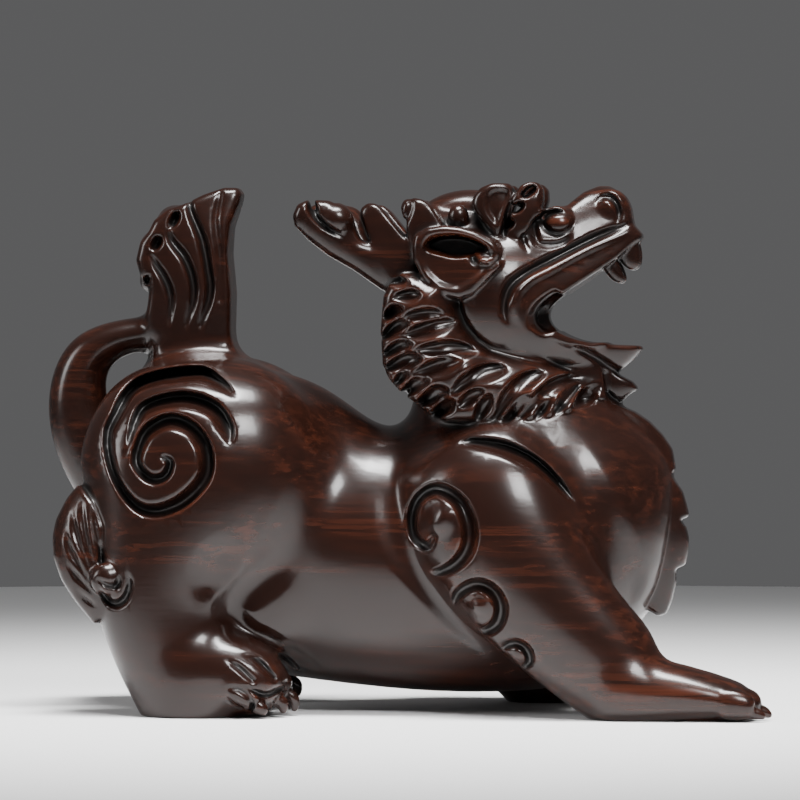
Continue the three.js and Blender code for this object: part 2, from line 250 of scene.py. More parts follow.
def crowned(outline, inner, outer):
    """A slab and the egg that it shares its crowned form with, thickest in the outline's middle."""
    ends = [(min(p[k] for p in outline), max(p[k] for p in outline)) for k in (0, 1)]
    x, z = ((first + last) / 2 for first, last in ends)
    long, tall = (EGG_SHARE * (last - first) for first, last in ends)
    cover = egg((x, (inner + outer) / 2, z), (long, abs(outer - inner) / 2, tall))
    return [slab(outline, inner, outer), cover]


# The block of wood: distances to its skin on a lattice, in drawing units


class Block:
    """Wood as a lattice of distances to its skin, below zero inside."""

    def __init__(self, cell):
        self.cell = cell
        low = np.array(LOW) / UNIT - MARGIN
        high = np.array(HIGH) / UNIT + MARGIN
        self.first = np.floor(low / cell).astype(int)
        self.shape = np.ceil(high / cell).astype(int) - self.first + 1
        self.skin = np.full(self.shape, BAND, np.float32)

    def line(self, axis):
        """Lattice coordinates along one axis."""
        return (self.first[axis] + np.arange(self.shape[axis])) * self.cell

    def window(self, low, high):
        """Slices of the lattice that hold a box."""
        start = np.floor(np.array(low) / self.cell).astype(int) - self.first
        stop = np.ceil(np.array(high) / self.cell).astype(int) - self.first + 1
        start, stop = np.maximum(start, 0), np.minimum(stop, self.shape)
        return tuple(slice(int(a), int(b)) for a, b in zip(start, stop))

    def distances(self, form, reach):
        """Distances to a form's skin and the slices where they lie; the form is used up."""
        mesh = form.data
        mesh.calc_loop_triangles()
        points = np.empty(len(mesh.vertices) * 3, np.float32)
        mesh.vertices.foreach_get("co", points)
        points = points.reshape(-1, 3) / UNIT
        faces = np.empty(len(mesh.loop_triangles) * 3, np.int32)
        mesh.loop_triangles.foreach_get("vertices", faces)
        grid = openvdb.FloatGrid.createLevelSetFromPolygons(
            points.astype(np.float32),
            triangles=faces.reshape(-1, 3).astype(np.uint32),
            transform=openvdb.createLinearTransform(self.cell),
            halfWidth=reach / self.cell,
        )
        bpy.data.meshes.remove(mesh)
        place = self.window(points.min(0) - reach, points.max(0) + reach)
        values = np.empty([s.stop - s.start for s in place], np.float32)
        corner = [int(s.start + f) for s, f in zip(place, self.first)]
        grid.copyToArray(values, ijk=corner)
        return values, place

    def join(self, form, fillet, depth=6.0):
        """Adds a form, with a rounded seam; distances stay true down to a depth."""
        values, place = self.distances(form, max(fillet, depth) + self.cell)
        wood = self.skin[place]
        self.skin[place] = soft_least(wood, values, fillet)

    def join_common(self, forms, rim, fillet, depth=6.0):
        """Adds what several forms have in common, with rounded rims and a rounded seam."""
        reach = max(fillet, rim, depth) + self.cell
        parts = [self.distances(form, reach) for form in forms]
        place = tuple(
            slice(max(spot[k].start for _, spot in parts), min(spot[k].stop for _, spot in parts))
            for k in range(3)
        )
        shared = None
        for values, spot in parts:
            inner = tuple(slice(a.start - b.start, a.stop - b.start) for a, b in zip(place, spot))
            piece = values[inner]
            shared = piece if shared is None else -soft_least(-shared, -piece, rim)
        self.skin[place] = soft_least(self.skin[place], shared, fillet)

    def sample(self, points):
        """Distances to the skin at any points, in drawing units."""
        at = points / self.cell - self.first
        base = np.clip(np.floor(at).astype(int), 0, np.array(self.shape) - 2)
        share = at - base
        total = np.zeros(len(points))
        for corner in np.ndindex(2, 2, 2):
            weight = np.prod(np.where(corner, share, 1 - share), axis=1)
            total += weight * self.skin[tuple((base + corner).T)]
        return total


def soft_least(a, b, fillet):
    """The smaller of two distances, blended where they are alike."""
    if fillet <= 0:
        return np.minimum(a, b)
    share = np.maximum(fillet - np.abs(a - b), 0) / fillet
    return np.minimum(a, b) - share * share * fillet / 4


# Relief: lines drawn in side view, sunk into both flanks


def curve(points, step=0.4):
    """A smooth line through points, each with any further values, at even steps."""
    points = np.array(points, float)
    ends = np.vstack([2 * points[0] - points[1], points, 2 * points[-1] - points[-2]])
    out = []
    for p, q, r, s in zip(ends, ends[1:], ends[2:], ends[3:]):
        count = max(2, int(np.hypot(*(r - q)[:2]) / step))
        for t in np.arange(count) / count:
            out.append(q + t / 2 * (r - p + t * (2 * p - 5 * q + 4 * r - s + t * (3 * (q - r) + s - p))))
    return np.array(out + [points[-1]])


def rounded(u):
    """A trough with a round floor, across u from -1 to 1."""
    return np.clip(1 - u * u, 0, 1) ** 0.75


def scooped(u):
    """A scoop with a steep wall at -1 that runs out gently to 1."""
    wall = np.clip((u + 1) / 0.3, 0, 1)
    slope = np.clip((1 - u) / 1.15, 0, 1)
    return wall * wall * (3 - 2 * wall) * slope * slope * (3 - 2 * slope)


def gentle(u):
    """A shallow valley that runs out softly to both sides."""
    return np.clip(1 - u * u, 0, 1) ** 2


def distance_to_outline(x, z, outline):
    """Signed distances to a closed outline in side view, below zero inside, at each x and z."""
    x, z = x[:, None], z[None, :]
    points = np.array(outline)
    nearest = np.full(np.broadcast(x, z).shape, 1e9)
    inside = np.zeros(nearest.shape, bool)
    for a, b in zip(points, np.roll(points, -1, axis=0)):
        run = b - a
        if not run.any():
            continue
        share = np.clip(((x - a[0]) * run[0] + (z - a[1]) * run[1]) / (run @ run), 0, 1)
        nearest = np.minimum(nearest, np.hypot(x - a[0] - share * run[0], z - a[1] - share * run[1]))
        crosses = (a[1] > z) != (b[1] > z)
        inside ^= crosses & (x < a[0] + (z - a[1]) * run[0] / np.where(run[1] == 0, 1, run[1]))
    return np.where(inside, -nearest, nearest)


def nearer(points, near):
    """Side-view points at their true size: what stands towards the viewer was drawn larger."""
    scale = 1 - near / DRAWN_FROM
    return [(x * scale, z * scale, *rest) for x, z, *rest in points]


class Relief:
    """Depths below the skin, drawn in side view over part of a block.

    The drawing lies on a skin that stands near, in drawing units, towards the viewer.
    """

    def __init__(self, block, low, high, near=0.0):
        self.block = block
        self.near = near
        corners = (low[0], 0, low[1]), (high[0], 0, high[1])
        self.place = block.window(*corners)
        self.x = block.line(0)[self.place[0]]
        self.z = block.line(2)[self.place[2]]
        self.sunk = np.zeros((len(self.x), len(self.z)), np.float32)
        self.proud = np.zeros_like(self.sunk)

    def stroke(self, points, profile=rounded, steep=1, raised=False):
        """Draws a line. A point is (x, z, half width, depth); steep is the side of the wall."""
        line = curve(nearer(points, self.near))
        reach = line[:, 2].max() + 1
        nearest = np.full(self.sunk.shape, 1e9, np.float32)
        across = np.zeros_like(self.sunk)
        half = np.ones_like(self.sunk)
        depth = np.zeros_like(self.sunk)
        for a, b in zip(line, line[1:]):
            i = np.searchsorted(self.x, [min(a[0], b[0]) - reach, max(a[0], b[0]) + reach])
            k = np.searchsorted(self.z, [min(a[1], b[1]) - reach, max(a[1], b[1]) + reach])
            spot = (slice(*i), slice(*k))
            dx, dz = self.x[spot[0], None] - a[0], self.z[None, spot[1]] - a[1]
            run = b[:2] - a[:2]
            length = max(float(np.hypot(*run)), 1e-6)
            share = np.clip((dx * run[0] + dz * run[1]) / length**2, 0, 1)
            offset = np.hypot(dx - share * run[0], dz - share * run[1])
            side = (run[0] * dz - run[1] * dx) / length
            closer = offset < nearest[spot]
            nearest[spot] = np.where(closer, offset, nearest[spot])
            across[spot] = np.where(closer, np.copysign(offset, side * steep), across[spot])
            half[spot] = np.where(closer, a[2] + share * (b[2] - a[2]), half[spot])
            depth[spot] = np.where(closer, a[3] + share * (b[3] - a[3]), depth[spot])
        inside = nearest < half
        shape = np.where(inside, profile(np.clip(across / np.maximum(half, 0.05), -1, 1)) * depth, 0)
        target = self.proud if raised else self.sunk
        np.maximum(target, shape, out=target)

    def pool(self, outline, depth, bank, raised=False):
        """Sinks or raises the inside of an outline, with banks of a given width."""
        rim = curve(nearer(outline + outline[:1], self.near), 1)
        share = np.clip(-distance_to_outline(self.x, self.z, rim) / bank, 0, 1)
        target = self.proud if raised else self.sunk
        np.maximum(target, depth * share * share * (3 - 2 * share), out=target)

    def ovals(self, rows, raised=False):
        """Sinks or raises ovals. A row is (x, z, half length, half height, lean, depth, bank)."""
        for *shape, depth, bank in rows:
            self.pool(oval(*shape), depth, bank, raised)

    def press(self, inner, far=0.0, joint=1.0, soft=3.0):
        """Sinks the drawing into both flanks from a depth of inner outwards.

        On the left flank it moves back with the leg: by far at the ground, by none at the joint.
        """
        depth = self.sunk - self.proud
        y = self.block.line(1)
        for side in (-1, 1):
            drawn = depth
            if side > 0 and far:
                back = far * np.clip(1 - self.z / joint, 0, None)
                drawn = np.stack(
                    [np.interp(self.x + b, self.x, row) for b, row in zip(back, depth.T)], axis=1
                ).astype(np.float32)
            weight = np.clip((side * y - inner) / soft, 0, 1).astype(np.float32)
            columns = np.flatnonzero(weight)
            spot = (self.place[0], slice(columns[0], columns[-1] + 1), self.place[2])
            self.block.skin[spot] += drawn[:, None, :] * weight[columns][None, :, None]


def spiral(centre, turns):
    """Points of a spiral line. A turn is (degrees, radius, half width, depth)."""
    return [
        (
            centre[0] + radius * math.cos(math.radians(degrees)),
            centre[1] + radius * math.sin(math.radians(degrees)),
            half,
            depth,
        )
        for degrees, radius, half, depth in turns
    ]


def oval(x, z, long, short, degrees):
    """Points round an oval whose long axis is raised by an angle."""
    lean = math.radians(degrees)
    turns = [math.radians(step) for step in range(0, 360, 30)]
    return [
        (
            x + long * math.cos(t) * math.cos(lean) - short * math.sin(t) * math.sin(lean),
            z + long * math.cos(t) * math.sin(lean) + short * math.sin(t) * math.cos(lean),
        )
        for t in turns
    ]


def set_back(z, far, joint):
    """How far a left leg stands back at a height: by far at the ground, by none at its joint."""
    return far * max(0, 1 - z / joint)


def stride(rows, far=0.0, joint=1.0):
    """The rows of a form on the right, and of its mirror image, set back like a left leg."""
    return [rows, [(x - set_back(z, far, joint), -y, z, *rest) for x, y, z, *rest in rows]]


def beside(side, place, half, back=0.0, lean=0.0):
    """An egg on one side of the figure, set back by so much."""
    return egg((place[0] - back, side * place[1], place[2]), half, lean)


# The drawing: ribs as limb takes them, outlines and carved lines in side view

SHOULDER_HEIGHT = 90.0
HIP_HEIGHT = 60.0
HOCK_HEIGHT = 44.0

TRUNK = [
    (-82, 0, 64, 15, 13), (-72, 0, 63, 26, 31), (-56, 0, 57, 31, 40), (-38, 0, 50.5, 32, 41.5),
    (-18, 0, 42.5, 32.5, 35.5), (2, 0, 41, 33.5, 36.5), (22, 0, 45.5, 35, 41.5),
    (40, 0, 49, 34.5, 42.5), (55, 0, 49.5, 29.5, 35), (65, 0, 48, 21, 26.5),
    (71.5, 0, 47, 11, 16),
]
NECK = [
    (29, 0, 66, 27, 34), (27, 0, 80, 22, 27), (21, 0, 93, 19, 22), (14, 0, 104, 18, 16),
    (10, 0, 116, 18, 13),
]
HIND_LEG = [
    (-58, -14, 96.5, 8, 12), (-57.5, -19, 90, 15, 23.5), (-57, -22, 80, 19.5, 30.3),
    (-54.7, -23.5, 67, 21, 33.4), (-57, -24.5, 54, 20, 30.5), (-62.5, -26, 41, 18, 23.5),
    (-65, -28, 29, 15.5, 18.5), (-61, -30, 15, 13.5, 15.7), (-56, -31, 0, 12.5, 12.6),
    (-53.5, -31, -8, 12, 11.6),
]
HIND_PAW = [
    (-66, -30, 8, 12, 13), (-54, -31.5, 11.5, 13, 13.5), (-44, -32.5, 11, 13, 12),
    (-36, -32.5, 8.5, 11.5, 9), (-31, -32, 6.5, 8, 5.5),
]
FORELEG = [
    (11, -21, 75, 8, 13), (15.5, -25, 68, 13, 19.5), (21.5, -27.5, 58, 15.5, 22.5),
    (27.8, -30, 45.7, 15, 21.5), (36.2, -32, 33, 13.5, 19.3), (46.5, -33, 22.5, 12.5, 17),
    (58, -33.5, 12, 11.5, 15), (63, -34, 3, 10, 10),
]
FORE_PAW = [
    (50, -34, 6, 11, 11), (66, -34.5, 7.2, 12, 10), (78, -34.6, 6.4, 12, 7.8),
    (88, -34.6, 5.2, 11.5, 5.9), (94, -34.6, 4, 9.5, 4.6),
]
FORE_TOES = [(-24.8, 94), (-31, 97.6), (-37.4, 98), (-43.2, 96.4)]  # y and tip
HIND_TOES = [(-22.5, -30.5, 9.5), (-29.5, -28.5, 9.2), (-36, -30.8, 8.4), (-42, -35.5, 7)]  # and top
FORE_PAD = [(12, 5.2, 3.4, 4.6), (5, 4.4, 3.3, 4.2), (1, 3.6, 2.7, 3)]
FORE_CLAW = [(4, 2.8, 1.6, 2), (-0.6, 2.2, 1.3, 1.5), (-1.7, 0.8, 0.6, 0.7)]
TAIL = [
    (-70, 0, 46, 9, 9), (-83.5, 0, 61, 9, 9.4), (-91.2, 0, 75, 8.5, 8.9), (-92.6, 0, 88, 8, 8.2),
    (-89.2, 0, 98, 7.5, 7), (-79.5, 0, 102.4, 7, 4.8), (-69, 0, 103.4, 7, 4.5), (-58, 0, 103, 8, 5),
]
TUFT = [
    (-58, 0, 84, 7, 20), (-58, 0, 96, 9, 24), (-59, 0, 108, 10, 26), (-60, 0, 120, 10.5, 27),
    (-59, 0, 131, 9.5, 27), (-58, 0, 140, 7, 26), (-58, 0, 147, 5, 25),
]
TUFT_OUTLINE = [
    (-48, 93), (-56, 86), (-66, 86), (-68.2, 93), (-69, 101), (-72.3, 107.6), (-71.6, 111.5),
    (-71.2, 115.2), (-73.8, 119), (-75, 123), (-73.8, 128), (-71.4, 131), (-70, 134), (-66, 137),
    (-61.8, 138.4), (-56.5, 141), (-51, 142.9), (-47.3, 142.9), (-46, 141.2), (-46.6, 138.6),
    (-49, 132), (-49.6, 125), (-48.6, 114), (-48.8, 104),
]
TUFT_CURLS = [  # middle, half size and half width
    (-64.8, 133, 5.2, 8), (-69.6, 126.5, 5, 8.6), (-71, 117.5, 3.6, 8),
]
CHEEK = [
    (15.4, 126), (15.6, 118.9), (15.7, 112), (17.2, 107.5), (20.2, 103), (24, 100), (30.1, 98.1),
    (36.6, 96.6), (44.1, 95.3), (50, 92.9),
]
FACE = nearer(CHEEK, NEAR["cheek"]) + [
    (57.5, 92.6), (60.9, 95.6), (64.2, 99.2), (63, 100.9), (57, 102), (57, 121), (63.4, 128),
    (63.8, 129.8), (61.4, 132.4), (61, 134.6), (60.6, 137), (59.2, 139.4), (57.4, 141.6),
    (54.6, 143.2), (51.6, 143.3), (47.6, 141.6), (44.1, 138.6), (41.2, 135.8), (37, 134), (30, 134),
    (23, 137), (20.2, 141.2), (9.2, 141.2), (4, 137), (0, 130), (3, 124), (9, 121),
]
FACE_WIDTHS = [
    (-6, 0, 114, 15, 25), (-2, 0, 114, 18, 25), (8, 0, 113, 23, 25), (20, 0, 112, 26, 25),
    (30, 0, 111, 25, 24.5), (38, 0, 112.5, 21, 25.5), (46, 0, 115, 16.5, 27), (54, 0, 117, 13, 28),
    (60, 0, 117.5, 10.8, 28), (66, 0, 117.5, 7.5, 28), (72, 0, 117.5, 5, 27),
]
COLLAR = [
    (-1.4, 123), (-3.4, 119.3), (-5.5, 115.4), (-6.3, 106.1), (-5.7, 96.2), (-3.7, 92.1), (-0.1, 88.3),
    (3.2, 86.1), (7.9, 82.8), (12, 80.9), (18.9, 80.2), (26.6, 80.8), (35.4, 81.3), (42, 82.3),
    (49.1, 84.4), (55.4, 86.9),
]
COLLAR_INSIDE = [(52, 97), (38, 108), (24, 120), (10, 126)]
COLLAR_WIDTHS = [
    (-12, 0, 105, 24, 52), (-5, 0, 105, 27, 52), (8, 0, 104, 30.5, 52), (20, 0, 102, 31.5, 52),
    (33, 0, 100, 30, 52), (45, 0, 98, 25.5, 52), (56, 0, 96, 17.5, 52), (64, 0, 96, 9, 52),
]
LOCKS = [  # root, bend and tip in side view, and half the greatest width
    ((5.3, 115.5), (1.5, 115.1), (-2.5, 114.6), 1.3), ((1.8, 118.6), (-1.2, 118.6), (-3.6, 119.4), 1.1),
    ((0.2, 112.1), (-2.3, 110.5), (-5, 108.8), 1.4), ((11.7, 109.8), (6.2, 109.9), (-0.1, 109), 1.4),
    ((2.4, 108.4), (-1.5, 106.2), (-5.4, 103.6), 1.5), ((14.3, 108.2), (8, 105.3), (-0.7, 104.1), 1.8),
    ((3, 102.2), (-0.9, 100.9), (-5, 99), 1.4), ((19.8, 99.8), (12, 100.2), (4, 100.2), 1.9),
    ((5.7, 98.1), (1, 96.8), (-4.3, 95.5), 1.8), ((16.7, 97.4), (10.6, 95.3), (2.7, 93.6), 1.8),
    ((2.2, 94.1), (0.2, 92.7), (-2, 91.2), 1.2), ((7.7, 92.3), (3.5, 90.2), (-0.1, 88.4), 1.5),
    ((28.5, 94.8), (21.6, 94.3), (14.1, 88.8), 1.9), ((13.2, 89.2), (9, 87.4), (4.6, 85.8), 1.8),
    ((22.7, 89.4), (19.3, 87), (15.6, 84.6), 1.5), ((15, 86.2), (12.3, 84.4), (8.4, 82.7), 1.6),
    ((38.6, 93.8), (32.4, 91.2), (26, 82.4), 2), ((24.9, 88), (22.9, 84.6), (20.6, 81.4), 1.5),
    ((47.8, 92.6), (40.8, 89.9), (32.2, 81.9), 2), ((36.3, 88.4), (32.8, 85.4), (28.6, 81), 1.5),
    ((43.2, 90.4), (40.6, 86.4), (36.6, 82), 1.6), ((48.4, 91), (45, 87.2), (41.6, 83), 1.6),
    ((53.4, 90.4), (50, 87.4), (46.6, 84.4), 1.5),
]
LOCK_DEPTH = 1.9  # of a gouge, for each unit of its half width
LOCK_SPREAD = 1.75  # how much wider the gouges are cut than they look, to meet in thin ridges
LOCK_SHAPE = [  # share of a gouge's run, and of its width there
    (-0.06, 0.1), (0.16, 0.75), (0.45, 1), (0.78, 0.72), (1.06, 0.1),
]
SINK_DEPTH, SINK_RUN = 9, 9  # how deep the collar lies at the cheek, and how far out that runs
CHIN = [
    (42, 95), (49.6, 90.4), (53.3, 88.8), (55.6, 85.9), (57.5, 84), (59.9, 86.2), (62.6, 87.8),
    (60.9, 89.8), (57.5, 91.4), (53, 94.5), (46, 97),
]
HORN = [
    (8, 118), (-1, 113), (-7, 116), (-14.7, 121.5), (-21.5, 125.4), (-27, 129.7), (-30.4, 133.4),
    (-31, 136.4), (-29.7, 139.5), (-26.7, 140.9), (-20.9, 140.6), (-16.6, 138), (-14.5, 135.6),
    (-13.5, 131.9), (-12.3, 129.8), (-8.6, 128.6), (2, 128),
]
HORN_WIDTHS = [
    (10, -9, 121, 4.6, 14), (-4, -11.5, 122, 4.6, 14), (-14, -13.5, 127, 4.6, 14),
    (-24, -15.5, 133, 5, 14), (-36, -17, 140, 4.4, 14),
]
PRONG = [
    (-7.4, 124), (-10.8, 131), (-12.8, 136), (-12.6, 138.2), (-10.6, 139.6), (-8.4, 139.4),
    (-6.2, 137.6), (-1, 131.1), (4, 126), (3, 116), (-5, 118),
]
SPIKE = [
    (2, 124), (0, 133), (-1.6, 138.3), (-0.8, 140.2), (1.5, 141), (4.5, 140.4), (7, 138.8),
    (10.2, 134), (12, 126),
]
BROW_LEAF = [
    (25, 128), (21.5, 132.6), (19.4, 135.5), (17.9, 137.9), (18.4, 140.2), (20.4, 142.4),
    (23.4, 143.6), (28, 143.6), (29.4, 142.2), (29.4, 140.6), (27.5, 136.6), (26.4, 131.5),
]
BROW_TUFT = [
    (28.5, 126), (26, 129.4), (26.4, 132.6), (28.5, 138), (29.8, 141), (31.2, 143), (33.2, 143.9),
    (35.7, 143.9), (37.3, 142.3), (37.4, 139.2), (36, 135.8), (32.5, 129.8),
]
LEAVES = [  # outline, how near it was drawn, inner and outer depth, rim and fillet
    (PRONG, NEAR["prong"], 6, 17, 1.6, 1), (SPIKE, NEAR["spike"], 5, 18, 1.6, 1),
    (BROW_LEAF, 0, 5.5, 19.5, 1.4, 0.8), (BROW_TUFT, 0, 5.5, 18.5, 1.4, 0.5),
]
EAR = [
    (2.7, 128.8), (3.3, 132.2), (6.9, 134), (11.5, 134.7), (16, 134.2), (20.6, 132.8),
    (25.6, 130.3), (27.5, 126.5), (27.1, 123.4), (23.6, 119.8), (19.5, 115.6), (15.7, 114.2),
    (10.4, 115.6), (5.8, 119.5), (3, 125),
]
EAR_LOBE = [
    (4.4, 128.4), (5.6, 122.4), (10, 118), (15.2, 116.6), (19, 118.6), (24, 122.8), (25.4, 126.6),
    (21.4, 130.6), (12, 132.9), (6.4, 132),
]
EAR_POCKET = [
    (5.6, 129.2), (7.6, 131.4), (12, 132.4), (17, 132), (21.6, 130.2), (24.2, 127.6), (21.8, 127),
    (18.8, 126), (15, 125.4), (10.6, 126.2), (7, 127.4),
]
FANG = [(58.6, -5.6, 129, 2.2, 3.6), (60.4, -6.2, 124, 2.2, 3.4), (61.6, -6.4, 119.8, 1.1, 1.5)]
TOOTH = [(54, -7.4, 123.4, 1.9, 2.6), (56.6, -7.4, 119, 1.8, 2.3), (58.6, -7.4, 116.6, 0.9, 1.1)]
HOCK_SHELL = [
    (-86.4, 62), (-82.5, 57.5), (-79.8, 51.1), (-80, 45), (-80.6, 41), (-77, 36), (-77.5, 28),
    (-82.6, 24.5), (-87.5, 30.5), (-91.7, 36.5), (-94.1, 42.5), (-94.7, 48.3), (-93.9, 52.7),
    (-90.8, 58.6), (-88.2, 61.8),
]
CHEST_PLATES = [
    (50, 84), (56.5, 83.6), (61.5, 81.6), (65.4, 79), (69, 75.4), (71.8, 71.4), (72.7, 65.8),
    (71, 64.8), (74.6, 59.8), (76.4, 54), (76.4, 52.9), (73.6, 52.2), (75.6, 50), (76.4, 47),
    (76.2, 43.4), (75.3, 39.8), (72.6, 38.8), (72.8, 35), (71.6, 30), (70.2, 26.6), (68, 26),
    (58, 32),
]
CHEST_WIDTHS = [
    (38, 0, 90, 9, 15), (47, 0, 82, 9.5, 15.5), (56.5, 0, 71, 10, 15.5), (59.5, 0, 62, 10, 15.7),
    (61.2, 0, 53, 10, 15.7), (61.2, 0, 44, 9.5, 15.7), (58.5, 0, 34, 9, 15.5), (54, 0, 18, 8, 15.5),
]
CROWN = [
    (3, 0, 128, 7, 7), (8, 0, 135.2, 8, 5.6), (13, 0, 137.3, 8, 5.2), (20, 0, 137.3, 8, 5.2),
    (28, 0, 134.6, 7, 5),
]
MOUTH = [
    (80, 133), (64.5, 128.6), (57, 123.2), (50, 118.4), (42, 113), (38.5, 109.5), (38.6, 106),
    (42, 103), (50, 100.3), (64, 99.6), (80, 99),
]
# Eggs: middle and half sizes
RUMP = (-58.5, 0, 88), (17, 15, 12)
GROIN = (-41, 22, 29), (14, 11, 14)
CHIN_EGG = (54, 0, 90), (12, 7, 9)
NOSTRIL = (55.2, 5.4, 137.4), (4.6, 4.2, 4.6)
HORN_BOSS = (-18.9, 16.4, 133.8), (5, 4.6, 4.4)
CROWN_BEAD = (14.2, 14, 134.6), (2.9, 3, 3.4)
EYEBALL = (41.2, 10.8, 132.4), (4.6, 4.2, 4)
SHELL_COVER = (-79, 25.5, 43), (17.5, 14, 24)
SHELL_BOSS = (-78.6, 38.5, 37), (4.6, 3.8, 4.6)
# Carved lines: a point is (x, z, half width, depth)
HAUNCH_EYE = (-65.5, 70.4)  # middle of the two spirals below
HAUNCH_SPIRAL = [  # degrees, radius, half width, depth
    (41, 27, 0.4, 0.5), (56, 26, 1.8, 2.4), (72, 24.8, 2.3, 3.6), (110, 21.8, 2.3, 3.6),
    (139, 17.5, 1.9, 3), (159, 15.9, 1.6, 2.6), (196, 13, 1.4, 2.4), (235, 13.1, 1.6, 2.8),
    (263, 13.3, 2, 3.4), (299, 12.3, 2.3, 3.6), (340, 12.9, 2.3, 3.6), (372, 12.9, 2.3, 3.6),
    (403, 12.3, 2.3, 3.6), (435, 11.1, 2.4, 3.8), (469, 8.7, 2.3, 3.6), (500, 6.8, 1.9, 3.2),
    (544, 6, 1.6, 2.8), (601, 4.9, 1.6, 2.8), (651, 4.1, 1.5, 2.8), (715, 3, 1.2, 2.2),
    (780, 1.4, 0.5, 0.8),
]
HAUNCH_HOOK = [
    (14, 20, 0.5, 0.5), (25, 20.3, 2.1, 3), (45, 20, 2.5, 3.8), (70, 17.7, 2.4, 3.8),
    (101, 15.3, 2.2, 3.4), (119, 13.2, 1.8, 2.6), (170, 9.2, 0.5, 0.3),
]
HIND_VALLEY = [
    (-27, 64, 5, 0.1), (-30, 52, 7, 0.8), (-35.5, 41.5, 8, 1.4), (-44.6, 33, 7, 1.8),
    (-45.6, 28, 5.5, 1.8), (-42, 23.6, 4.5, 1.6), (-34.6, 20, 3.5, 1.4), (-25.6, 13.4, 2.4, 0.6),
]
HIND_CREASE = [
    (-31, 49, 0.4, 0.1), (-36.4, 40.6, 0.9, 0.9), (-44.8, 33, 1, 1.3), (-46, 29.6, 1, 1.4),
    (-42.4, 24, 1, 1.4), (-34.6, 20, 0.9, 1.2), (-25.6, 13.4, 0.5, 0.5),
]
HIND_HOLLOW = [(-50, 41, 11, 8, 60, 1.8, 7)]
HIND_LINES = [  # the hind toes, and the flutes and curl of the hock's shell
    [(-46.6, 16, 0.3, 0.3), (-43.4, 14.2, 0.7, 1.4), (-39.3, 10.6, 0.6, 1.2)],
    [(-42.6, 17.6, 0.3, 0.3), (-38, 15.4, 0.7, 1.6), (-33.8, 11, 0.6, 1.4)],
    [(-36.6, 17.9, 0.3, 0.3), (-33.2, 15.5, 0.7, 1.6), (-30.4, 12, 0.6, 1.4)],
    [(-42, 9.4, 0.3, 0.3), (-39, 7.6, 0.7, 1.6), (-36, 6.8, 0.7, 1.8), (-32.6, 8.2, 0.6, 1.4)],
    [(-46.5, 8.6, 0.4, 0.4), (-43.5, 8.4, 0.7, 1.2), (-40.4, 6.4, 0.8, 1.4), (-39.6, 3.4, 0.7, 1.2)],
    [(-46.5, 8, 0.4, 0.4), (-46.4, 5.6, 0.6, 1), (-43.5, 3.6, 0.7, 1), (-40.6, 3, 0.5, 0.6)],
    [(-85, 58, 0.3, 0.3), (-83.8, 51, 0.9, 1), (-82, 42.5, 0.4, 0.6)],
    [(-87.8, 58.6, 0.4, 0.4), (-86.8, 51, 1, 1.1), (-84.4, 42, 0.4, 0.6)],
    [(-90.4, 55.8, 0.4, 0.4), (-88.9, 49.6, 1, 1.1), (-85.4, 40.6, 0.4, 0.6)],
    [(-92.2, 50, 0.4, 0.4), (-90.2, 45, 1, 1.1), (-85.6, 37.6, 0.4, 0.6)],
    [(-91.4, 41.8, 0.4, 0.4), (-89, 38.8, 0.9, 1), (-84.8, 34.4, 0.4, 0.6)],
    [(-88.6, 34.2, 0.4, 0.4), (-86.4, 32.4, 0.9, 0.9), (-83.4, 30, 0.4, 0.5)],
    [(-82.4, 36.6, 0.4, 0.5), (-81, 32.8, 0.9, 1.6), (-78, 31.2, 1.1, 2), (-75, 32.8, 1.1, 2),
     (-73.6, 36.6, 0.9, 1.6), (-74.4, 40, 0.3, 0.3)],
    [(-82.6, 38, 0.5, 0.8), (-79.6, 36.4, 0.8, 1.6), (-77.2, 36.4, 0.8, 1.4), (-76.6, 38.8, 0.3, 0.4)],
]
SHOULDER_LEAF = [
    (15.6, 74.6, 0.3, 0.2), (20, 75, 1.5, 1.8), (28.5, 73.4, 2.4, 2.8), (36, 69.8, 2.3, 2.6),
    (42.4, 64.4, 1.7, 2), (49, 57, 0.5, 0.3),
]
SHOULDER_VALLEYS = [
    [(1, 80, 3, 0.1), (-2, 72, 5, 0.2), (-2.6, 63, 6, 0.6), (-0.6, 49.4, 6, 1.2), (5, 39, 5, 1.5),
     (14.8, 27.2, 4.4, 1.6), (26.8, 16.4, 4, 1.6), (41, 4.4, 4, 1.5), (46, 0, 4, 1.5)],
    [(46, 76, 4, 0.1), (51, 64, 6, 0.9), (57, 50, 7, 1.3), (63, 36, 6, 0.9), (66, 27, 4, 0.1)],
]
SHOULDER_CURLS = [
    [(7, 39.4, 0.5, 0.4), (12.6, 40.6, 1.4, 2), (17.4, 43.8, 2, 3), (19.7, 48.4, 2.2, 3.4),
     (19.4, 54.2, 2.2, 3.4), (16.6, 59.6, 2, 3.2), (10.6, 62.6, 1.8, 3), (5.4, 60, 1.6, 2.8),
     (3.2, 54.6, 1.6, 2.8), (4.2, 49.4, 1.6, 2.6), (7.6, 47.2, 1.4, 2.2), (9.8, 49.4, 0.8, 1.2)],
    [(15.6, 28.1, 0.6, 0.5), (15.4, 32.7, 1.2, 1.8), (18.4, 35.9, 1.6, 2.4), (22.4, 37, 1.8, 2.8),
     (26.2, 35.3, 1.9, 3), (28.4, 31.1, 1.9, 3), (27.4, 26.7, 1.8, 2.8), (24.3, 24.4, 1.5, 2.2),
     (21, 25.2, 0.8, 1)],
    [(27.9, 18.7, 0.5, 0.5), (29.8, 20.4, 1.1, 1.6), (32.8, 21, 1.3, 2), (35.5, 19.2, 1.4, 2.2),
     (36.1, 16.2, 1.3, 2), (34.4, 14.4, 0.9, 1.2)],
]
CURL_EYES = [
    (11.4, 54.4, 6.4, 5.4, 60, 1.6, 5), (22, 30.4, 4, 3.6, 0, 1.2, 3.4), (32, 17, 2.4, 2.2, 0, 0.8, 2),
]
